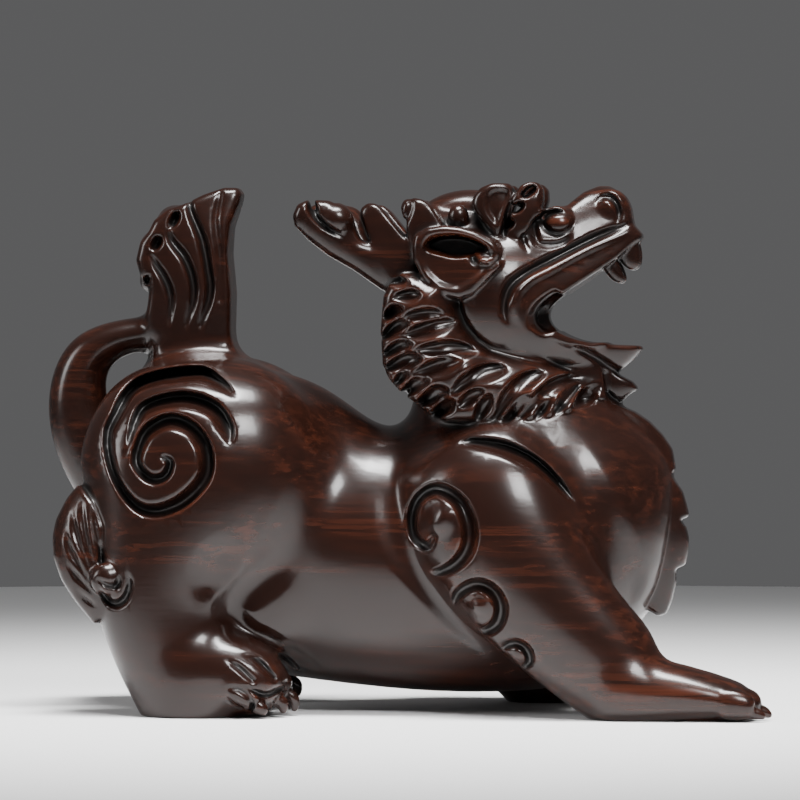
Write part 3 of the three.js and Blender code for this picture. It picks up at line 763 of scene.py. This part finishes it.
TUFT_FLUTES = [
    [(-60, 139, 0.5, 0.6), (-59.5, 136, 1.1, 1.6), (-56.4, 128.7, 1.4, 2.2), (-54.7, 120.2, 1.4, 2.2),
     (-54.2, 114, 1.3, 2), (-56.6, 105, 0.8, 0.8)],
    [(-65.6, 131.5, 0.4, 0.6), (-64.8, 128.4, 1.1, 1.6), (-61, 123.4, 1.3, 2), (-58.9, 117.5, 1.3, 2),
     (-58.8, 112, 1.1, 1.6), (-60.6, 105, 0.6, 0.6)],
    [(-70.4, 124.6, 0.4, 0.6), (-69, 121.8, 1, 1.4), (-66.4, 117.6, 1.2, 1.8), (-64.9, 112.6, 1.2, 1.6),
     (-65.4, 105.6, 0.6, 0.6)],
    [(-51.6, 141, 0.8, 0.6), (-52.6, 134, 1.1, 0.9), (-51.6, 124, 1.1, 0.9), (-51.4, 112, 0.9, 0.6)],
]
TUFT_EYES = [
    (-64.2, 134, 2.9, 1.7, 65, 3, 1.4), (-69, 127.6, 2.5, 1.8, 60, 3, 1.4),
    (-71.6, 117.6, 1.6, 1.2, 60, 2.2, 1.1),
]
FACE_LINES = [  # lip, chin, eyelid, brows, nostril, ear, crown and horn
    [(62, 133.4, 0.3, 0.2), (56, 131, 1, 1.4), (51.4, 129.1, 1.2, 1.8), (46.4, 126.6, 1.2, 1.9),
     (38.9, 122.6, 1.3, 2), (32.8, 119.2, 1.3, 2), (29, 116, 1.4, 2.2), (27.4, 112, 1.3, 2),
     (27.3, 108.6, 1, 1.4), (28.4, 105.6, 0.3, 0.2)],
    [(45, 100, 0.3, 0.2), (47.6, 98.5, 0.9, 1.1), (53, 95.3, 1.1, 1.5), (57.8, 92.1, 0.5, 0.6)],
    [(45, 130.4, 0.3, 0.2), (43.4, 128, 0.8, 1.2), (40.6, 126.9, 0.9, 1.3), (36.8, 127, 0.9, 1.1),
     (33.5, 128.4, 0.3, 0.2)],
    [(45.6, 134.4, 0.3, 0.3), (44.4, 131.4, 0.7, 1), (41, 130, 0.7, 1.1), (37.8, 131.4, 0.7, 1),
     (37.4, 134, 0.5, 0.8), (40, 135.6, 0.5, 0.9), (43.6, 135.6, 0.3, 0.3)],
    [(34.5, 132.6, 0.4, 0.4), (35.2, 129.6, 0.8, 1), (36.4, 127.2, 0.4, 0.4)],
    [(31.6, 130, 0.4, 0.4), (32.4, 127.2, 0.8, 1), (33.6, 125, 0.4, 0.4)],
    [(57, 132.4, 0.3, 0.3), (57.4, 136, 0.8, 1.6), (55.8, 139.4, 1, 2), (53, 140, 0.9, 1.8),
     (51.2, 138.2, 0.4, 0.5)],
    [(19.2, 127, 0.4, 0.5), (18.7, 124, 0.8, 1.4), (20.6, 121.6, 0.9, 1.6), (23.6, 121.2, 0.9, 1.6),
     (26, 123.2, 0.7, 1), (26.6, 125.6, 0.3, 0.3)],
    [(21.2, 125.4, 0.4, 0.5), (22.4, 123.6, 0.6, 1), (24.4, 124.4, 0.4, 0.6)],
    [(26.8, 128.6, 0.4, 0.5), (27.2, 132, 0.6, 1), (29, 138, 0.5, 0.8)],
    [(-1, 131, 0.5, 0.4), (1.2, 136, 0.9, 1), (1.4, 140, 0.5, 0.4)],
    [(-25.6, 139.2, 0.6, 0.8), (-25, 136.8, 1.4, 2.6), (-23.6, 134, 1, 2), (-20.6, 131.4, 0.8, 1.6),
     (-16.6, 129, 0.4, 0.6)],
]
FACE_ROLLS = [  # raised: the rolls of the lips and the brow over the eye
    [(60.4, 130.4, 0.8, 0.3), (52, 126.9, 1.2, 0.9), (47, 124.4, 1.2, 1), (39.6, 120.2, 1.3, 1),
     (34.6, 117.4, 1.3, 1), (31.6, 114.4, 1.3, 1), (30.4, 111, 1.3, 0.9), (30.4, 107.6, 0.9, 0.5)],
    [(35.6, 134, 0.5, 0.5), (37.6, 136.4, 0.9, 1.2), (41, 137.4, 1, 1.3), (44.6, 136, 0.5, 0.5)],
    [(57, 101.8, 0.8, 0.3), (51, 99.6, 1, 0.8), (45, 100.2, 1, 0.8), (40, 101.8, 0.8, 0.4)],
]
MOUTH_BOWL = [
    (33.4, 105), (33.4, 108), (35, 111), (38, 113.6), (41, 115), (43, 112), (40, 108), (41, 104),
    (37.5, 102.4),
]
BROW_HOLLOW = [
    (25, 131.4), (21.8, 136), (22, 140.4), (24.4, 142.4), (28, 142), (28.4, 140), (26.8, 136),
]
BROW_HOLES = [
    (33.4, 141.2, 2.6, 1.4, 35, 3, 0.9), (30.6, 137, 2.3, 1.4, 35, 3, 0.9),
    (28.2, 132.4, 1.9, 1.2, 35, 2.4, 0.8),
]
EAR_BEAD = [(22.6, 124.6, 3.2, 2.9, 0, 2.4, 2.4)]


def block_out(block, form):
    """Joins the body's main forms to the block."""
    fore, hind = form.fore_stagger / UNIT, form.hind_stagger / UNIT
    block.join(limb(TRUNK, 16, 3), 0, 9)
    block.join(limb(NECK, 12, 3), 8, 9)
    for rows in stride(HIND_LEG, hind, HIP_HEIGHT):
        block.join(limb(rows, 12, 3), 9, 9)
    for rows in stride(FORELEG, fore, SHOULDER_HEIGHT):
        block.join(limb(rows, 12, 3), 4)
    for rows in stride(HIND_PAW, hind, HIP_HEIGHT) + stride(FORE_PAW, fore, SHOULDER_HEIGHT):
        block.join(limb(rows, 12), 4)
    block.join(limb(TAIL, 10, 3), 4)
    block.join(egg(*RUMP), 6)
    for side, far in ((-1, 0), (1, hind)):
        block.join(beside(side, *GROIN, set_back(GROIN[0][2], far, HIP_HEIGHT)), 8)
    block.join_common([slab(TUFT_OUTLINE, -14, 14), limb(TUFT, 12, 3)], 2.5, 4)
    block.join_common([slab(CHEST_PLATES, -16, 16), limb(CHEST_WIDTHS, 12, 3)], 0.8, 0.4)


def lock(root, bend, tip, half):
    """The line of one gouge of the mane: a leaf that is widest before its middle."""
    line = []
    for share, width in LOCK_SHAPE:
        weights = ((1 - share) ** 2, 2 * share * (1 - share), share**2)
        x, z = (sum(w * point[k] for w, point in zip(weights, (root, bend, tip))) for k in (0, 1))
        line.append((x, z, half * LOCK_SPREAD * width, LOCK_DEPTH * half * width))
    return line


def carve_locks(block):
    """Joins the mane's collar, sinks it under the cheek and gouges its locks."""
    collar = nearer(COLLAR, NEAR["mane"]) + COLLAR_INSIDE
    block.join_common([slab(collar, -40, 40), limb(COLLAR_WIDTHS, 16, 3)], 3, 0.8, 10)
    mane = Relief(block, (-12, 74), (68, 130))
    ramp = np.clip(1 - distance_to_outline(mane.x, mane.z, FACE) / SINK_RUN, 0, 1)
    in_collar = np.clip(1 - distance_to_outline(mane.x, mane.z, collar), 0, 1)
    mane.sunk = (in_collar * SINK_DEPTH * ramp**1.6).astype(np.float32)
    mane.press(inner=10)
    locks = Relief(block, (-12, 74), (68, 130), NEAR["mane"])
    for root, bend, tip, half in LOCKS:
        locks.stroke(lock(root, bend, tip, half), scooped)
    locks.press(inner=8)


def open_mouth(block):
    """Cuts the open mouth through the head from side to side."""
    place = block.window((30, -40, 92), (80, 40, 138))
    x, z = block.line(0)[place[0]], block.line(2)[place[2]]
    gap = distance_to_outline(x, z, curve(MOUTH, 1.5)).astype(np.float32)[:, None, :]
    block.skin[place] = -soft_least(-block.skin[place], gap, 1.2)


def add_toes(block, side, fore, hind):
    """Joins a side's toes and claws. Their rows start with how far they lie behind the tip."""
    toes = [(y, tip, fore, FORE_PAD, FORE_CLAW) for y, tip in FORE_TOES]
    for y, tip, top in HIND_TOES:
        pad = [(13, top + 3, 3.4, 4.5), (5, top - 0.5, 3.5, 4.4), (1.5, top - 2.5, 3, 3.4)]
        claw = [(3.5, top - 3, 2, 2.4), (-0.2, top - 4.6, 1.7, 2), (0.4, 0.6, 0.8, 1)]
        toes.append((y, tip, hind, pad, claw))
    for y, tip, back, pad, claw in toes:
        for rows, sides, fillet in ((pad, 10, 0.8), (claw, 8, 0.3)):
            ribs = [(tip - behind - back, -side * y, *rest) for behind, *rest in rows]
            block.join(limb(ribs, sides), fillet)


def add_features(block, form):
    """The face, horns, crown, brows, eyes, ears, nose and fangs, tail curls, hock shells and toes."""
    block.join_common([slab(FACE, -30, 30), limb(FACE_WIDTHS, 16, 3)], 2.4, 0.5)
    block.join_common([slab(CHIN, -7, 7), egg(*CHIN_EGG)], 1.2, 0.8)
    open_mouth(block)
    for x, z, size, half in TUFT_CURLS:
        block.join(egg((x, 0, z), (size, half, size)), 1.0)
    block.join(limb(CROWN, 10), 1.5)
    for side, fore, hind in ((-1, 0, 0), (1, form.fore_stagger / UNIT, form.hind_stagger / UNIT)):
        block.join(beside(side, *NOSTRIL), 1.5)
        horn = slab(nearer(HORN, NEAR["horn"]), side * 3, side * 24)
        cover = limb([(x, -side * y, z, *rest) for x, y, z, *rest in HORN_WIDTHS], 12)
        block.join_common([horn, cover], 3.6, 1.2)
        block.join(beside(side, *HORN_BOSS, lean=20), 0.4)
        for outline, near, inner, outer, rim, fillet in LEAVES:
            leaf = crowned(nearer(outline, near), side * inner, side * outer)
            block.join_common(leaf, rim, fillet)
        block.join(beside(side, *CROWN_BEAD), 0.6)
        block.join(slab(nearer(EAR, NEAR["ear"]), side * 16, side * 27.5, 1.8), 0.8)
        block.join(beside(side, *EYEBALL), 1.2)
        back = set_back(HOCK_HEIGHT, hind, HIP_HEIGHT)
        shell = slab([(x - back, z) for x, z in HOCK_SHELL], side * 8, side * 45)
        block.join_common([shell, beside(side, *SHELL_COVER, back)], 1.4, 0.6)
        block.join(beside(side, *SHELL_BOSS, back), 0.5)
        add_toes(block, side, fore, hind)
    for rows in stride(FANG) + stride(TOOTH):
        block.join(limb(rows, 8), 0.6)


def carve_flanks(block, form):
    """The haunch spirals, the curls and lines of the shoulders and the creases of the legs."""
    fore, hind = form.fore_stagger / UNIT, form.hind_stagger / UNIT
    haunch = Relief(block, (-102, -2), (-15, 100), NEAR["haunch"])
    for turns in (HAUNCH_SPIRAL, HAUNCH_HOOK):
        haunch.stroke(spiral(HAUNCH_EYE, turns), scooped)
    haunch.stroke(HIND_VALLEY, gentle)
    haunch.stroke(HIND_CREASE, scooped)
    haunch.ovals(HIND_HOLLOW)
    for line in HIND_LINES:
        haunch.stroke(line)
    haunch.press(inner=9.5, far=hind, joint=HIP_HEIGHT)
    shoulder = Relief(block, (-14 - fore, -2), (84, 98), NEAR["shoulder"])
    shoulder.stroke(SHOULDER_LEAF, scooped, steep=-1)
    for line in SHOULDER_VALLEYS:
        shoulder.stroke(line, gentle)
    for line in SHOULDER_CURLS:
        shoulder.stroke(line)
    shoulder.ovals(CURL_EYES, raised=True)
    shoulder.press(inner=14, far=fore, joint=SHOULDER_HEIGHT)


def carve_tail(block):
    """The flutes of the tail's tuft and the eyes of its curls."""
    tail = Relief(block, (-100, 80), (-40, 146))
    for line in TUFT_FLUTES:
        tail.stroke(line)
    tail.ovals(TUFT_EYES)
    tail.press(inner=1.5, soft=2)


def carve_head(block):
    """Lips, cheeks, eyes, nostrils, ears, brows and horns."""
    head = Relief(block, (-34, 80), (68, 146))
    for line in FACE_LINES:
        head.stroke(line)
    for line in FACE_ROLLS:
        head.stroke(line, raised=True)
    head.pool(MOUTH_BOWL, depth=3.2, bank=1.6)
    head.pool(BROW_HOLLOW, depth=1.2, bank=1.2)
    head.ovals(BROW_HOLES)
    head.press(inner=5, soft=2)
    ear = Relief(block, (0, 110), (30, 138), NEAR["ear"])
    ear.pool(EAR_LOBE, depth=1.2, bank=1.8)
    ear.pool(EAR_POCKET, depth=7, bank=1.6)
    ear.ovals(EAR_BEAD, raised=True)
    ear.press(inner=17, soft=2)


def stand(block):
    """Cuts the feet flat at the ground."""
    z = block.line(2).astype(np.float32)
    block.skin = np.maximum(block.skin, -z[None, None, :])


def polish(block):
    """Rubs the block down a little, so that no cut keeps a razor edge."""
    for axis in range(3):
        skin = np.moveaxis(block.skin, axis, 0)
        skin[1:-1] = (skin[:-2] + 2 * skin[1:-1] + skin[2:]) / 4


def surface(block, name, most):
    """The block's skin as a mesh object in metres, coarser where it bends less."""
    grid = openvdb.FloatGrid(BAND)
    grid.transform = openvdb.createLinearTransform(block.cell)
    grid.copyFromArray(block.skin, ijk=[int(v) for v in block.first])
    points, triangles, quads = grid.convertToPolygons(0.0, 0.003)
    mesh = bpy.data.meshes.new(name)
    mesh.from_pydata(points * UNIT, [], triangles.tolist() + quads.tolist())
    figure = bpy.data.objects.new(name, mesh)
    bpy.context.scene.collection.objects.link(figure)
    fresh()
    figure.select_set(True)
    bpy.context.view_layer.objects.active = figure
    modifier = figure.modifiers.new("Thinning", "DECIMATE")
    modifier.ratio = min(1.0, most / (len(triangles) + 2 * len(quads)))
    bpy.ops.object.modifier_apply(modifier=modifier.name)
    bpy.ops.object.shade_smooth()
    finish_skin(block, figure.data)
    return figure


def finish_skin(block, mesh):
    """Takes the shading normals, the bend and the hollows of the skin from the block.

    Hollows lie where the air just above the skin lies nearer to wood than it would over a plain; the
    material paints shade into them.
    """
    points = np.empty(len(mesh.vertices) * 3, np.float32)
    mesh.vertices.foreach_get("co", points)
    points = points.reshape(-1, 3).astype(float) / UNIT
    steps = np.eye(3)
    slope = [block.sample(points + 0.4 * step) - block.sample(points - 0.4 * step) for step in steps]
    normals = np.stack(slope, axis=1)
    normals /= np.maximum(np.linalg.norm(normals, axis=1, keepdims=True), 1e-9)
    mesh.normals_split_custom_set_from_vertices(normals)
    reach = 1.2
    around = sum(block.sample(points + sign * reach * step) for step in steps for sign in (-1, 1))
    bend = (around - 6 * block.sample(points)) / reach**2
    # How closed in the air over each point is: the measure of painted shade.
    air = Block(block.cell)
    values, place = air.distances(bpy.data.objects.new("copy", mesh.copy()), 4)
    air.skin[place] = values
    open_air = sum(air.sample(points + away * normals) / away for away in (1, 2.2)) / 2
    for name, value in (("bend", bend), ("hollow_shade", np.clip(1 - open_air, 0, 1))):
        layer = mesh.attributes.new(name, "FLOAT", "POINT")
        layer.data.foreach_set("value", value.astype(np.float32))


def fill(tree, node, sockets):
    """Gives a node's sockets their values, or their links from other nodes, and returns the node."""
    for name, value in sockets.items():
        if isinstance(value, bpy.types.NodeSocket):
            tree.links.new(value, node.inputs[name])
        else:
            node.inputs[name].default_value = value
    return node


def add_node(tree, kind, sockets, **settings):
    """Adds a shader node with its settings and filled sockets, and returns its outputs."""
    node = tree.nodes.new("ShaderNode" + kind)
    for name, value in settings.items():
        setattr(node, name, value)
    return fill(tree, node, sockets).outputs


def stretched(tree, value, low, high):
    """A value stretched so that low becomes 0 and high becomes 1."""
    return add_node(tree, "MapRange", {"Value": value, "From Min": low, "From Max": high})["Result"]


def grain_group():
    """A node group with the wood's grain: fine streaks, broad bands and a faint unevenness."""
    group = bpy.data.node_groups.new("wood grain", "ShaderNodeTree")
    for name, kind in (("Streaks", "Float"), ("Bands", "Float"), ("Normal", "Vector")):
        group.interface.new_socket(name, in_out="OUTPUT", socket_type="NodeSocket" + kind)
    place = add_node(group, "TexCoord", {})["Object"]

    def noise(scale, detail, roughness, distortion=0.0):
        spot = add_node(group, "Mapping", {"Vector": place, "Scale": scale})["Vector"]
        sockets = {"Vector": spot, "Scale": 1, "Detail": detail}
        sockets |= {"Roughness": roughness, "Distortion": distortion}
        return add_node(group, "TexNoise", sockets)["Fac"]

    uneven = noise((120, 900, 900), 3, 0.5)
    fill(group, group.nodes.new("NodeGroupOutput"), {
        "Streaks": stretched(group, noise((22, 360, 520), 5, 0.6, 0.3), 0.46, 0.72),
        "Bands": stretched(group, noise((7, 60, 85), 3, 0.5, 0.6), 0.38, 0.68),
        "Normal": add_node(
            group, "Bump", {"Strength": 0.025, "Distance": 0.001, "Height": uneven}
        )["Normal"],
    })
    return group


def polished_wood(wood):
    """Near-black hardwood with reddish streaks along the figure, waxed to a gloss, with shade painted
    into its hollows and a reddish glow painted onto its thin ridges.
    """
    material = bpy.data.materials.new("polished dark wood")
    material.use_nodes = True
    tree = material.node_tree
    grain = add_node(tree, "Group", {}, node_tree=grain_group())
    bend = add_node(tree, "Attribute", {}, attribute_name="bend")["Fac"]
    hollow_shade = add_node(tree, "Attribute", {}, attribute_name="hollow_shade")["Fac"]

    def combined(operation, first, second):
        return add_node(tree, "Math", {0: first, 1: second}, operation=operation)["Value"]

    def blend(share, base, top):
        if not isinstance(base, bpy.types.NodeSocket):
            base = (*base, 1)
        sockets = {"Factor": share, "A": base, "B": (*top, 1)}
        return add_node(tree, "Mix", sockets, data_type="RGBA")["Result"]

    # Painted shade: near-black colour, and a duller gloss, where the skin lies in a cut or corner.
    shade = stretched(tree, hollow_shade, 0.08, 0.55)
    # Painted glow: a reddish colour on thin convex ridges.
    ridge_glow = combined("MULTIPLY", stretched(tree, bend, 1.0, 3.0), 0.45)
    streaks = combined("MULTIPLY", grain["Streaks"], grain["Bands"])
    # The grain's colour, with the painted ridge glow laid over it.
    waxed = blend(ridge_glow, blend(streaks, wood.heart, wood.streak), wood.edge)
    fill(tree, tree.nodes["Principled BSDF"], {
        "Base Color": blend(shade, waxed, wood.hollow_shade),
        "Roughness": combined("ADD", combined("MULTIPLY", shade, 0.2), wood.gloss),
        "Normal": grain["Normal"],
        "Specular IOR Level": 0.29,
        "Coat Weight": 0.2,
        "Coat Roughness": 0.08,
    })
    return material


class PIXIU_OT_carve(bpy.types.Operator):
    """Carve the pixiu from one block of wood"""

    bl_idname = "pixiu.carve"
    bl_label = "Carve the figure"

    def execute(self, context):
        form, wood = context.scene.pixiu_form, context.scene.pixiu_wood
        block = Block(form.cell / UNIT)
        block_out(block, form)
        carve_locks(block)
        add_features(block, form)
        carve_flanks(block, form)
        carve_tail(block)
        carve_head(block)
        stand(block)
        polish(block)
        figure = surface(block, "carved_pixiu", form.triangles)
        figure.data.materials.append(polished_wood(wood))
        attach(figure, "root")
        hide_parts(NODE)
        return {"FINISHED"}


def facing(place, target):
    """The rotation that turns a lamp or camera at a place towards a target."""
    return (Vector(target) - Vector(place)).to_track_quat("-Z", "Y").to_euler()


class PIXIU_OT_stage(bpy.types.Operator):
    """Set the floor, the lights and the camera"""

    bl_idname = "pixiu.stage"
    bl_label = "Set the stage"

    def execute(self, context):
        stage = context.scene.pixiu_stage
        fresh()
        bpy.ops.mesh.primitive_circle_add(vertices=96, radius=FLOOR_RADIUS, fill_type="NGON")
        floor = context.object
        floor.name = "floor"
        material = bpy.data.materials.new("pale floor")
        material.use_nodes = True
        tree = material.node_tree
        fill(tree, tree.nodes["Principled BSDF"], {"Base Color": (*stage.floor, 1), "Roughness": 0.6})
        floor.data.materials.append(material)
        world = bpy.data.worlds.new("grey room")
        world.use_nodes = True
        world.node_tree.nodes["Background"].inputs["Color"].default_value = (*stage.backdrop, 1)
        context.scene.world = world
        for name, place, size, power in LAMPS:
            bpy.ops.object.light_add(type="AREA", location=place)
            lamp = context.object
            lamp.name = name
            lamp.data.shape = "RECTANGLE"
            lamp.data.size, lamp.data.size_y = size
            lamp.data.spread = LAMP_SPREAD
            lamp.data.energy = power
            lamp.rotation_euler = facing(place, LAMP_AIM)
        aim = Vector(AIM) * UNIT
        away = Vector((math.sin(stage.azimuth), -math.cos(stage.azimuth), 0)) * stage.distance
        bpy.ops.object.camera_add(location=aim + away + Vector((0, 0, CAMERA_RISE)))
        camera = context.object
        camera.data.sensor_width = SENSOR
        camera.data.lens = SENSOR * stage.distance / (PHOTO_PIXELS / PIXELS_PER_UNIT * UNIT)
        camera.rotation_euler = facing(camera.location, aim)
        context.scene.camera = camera
        return {"FINISHED"}


class PIXIU_PT_panel(bpy.types.Panel):
    """Lists the steps that build the figure"""

    bl_idname = "PIXIU_PT_panel"
    bl_label = "Pixiu"
    bl_space_type = "VIEW_3D"
    bl_region_type = "UI"
    bl_category = "Pixiu"

    def draw(self, context):
        for group in (context.scene.pixiu_form, context.scene.pixiu_wood, context.scene.pixiu_stage):
            for name in group.bl_rna.properties.keys():
                if name not in ("rna_type", "name"):
                    self.layout.prop(group, name)
        for operator in (PIXIU_OT_carve, PIXIU_OT_stage):
            self.layout.operator(operator.bl_idname)


CLASSES = (PixiuForm, PixiuWood, PixiuStage, PIXIU_OT_carve, PIXIU_OT_stage, PIXIU_PT_panel)


def register():
    for cls in CLASSES:
        bpy.utils.register_class(cls)
    bpy.types.Scene.pixiu_form = PointerProperty(type=PixiuForm)
    bpy.types.Scene.pixiu_wood = PointerProperty(type=PixiuWood)
    bpy.types.Scene.pixiu_stage = PointerProperty(type=PixiuStage)


def unregister():
    del bpy.types.Scene.pixiu_form, bpy.types.Scene.pixiu_wood, bpy.types.Scene.pixiu_stage
    for cls in reversed(CLASSES):
        bpy.utils.unregister_class(cls)


def main():
    register()
    bpy.ops.pixiu.carve()
    bpy.ops.pixiu.stage()


if __name__ == "__main__":
    main()
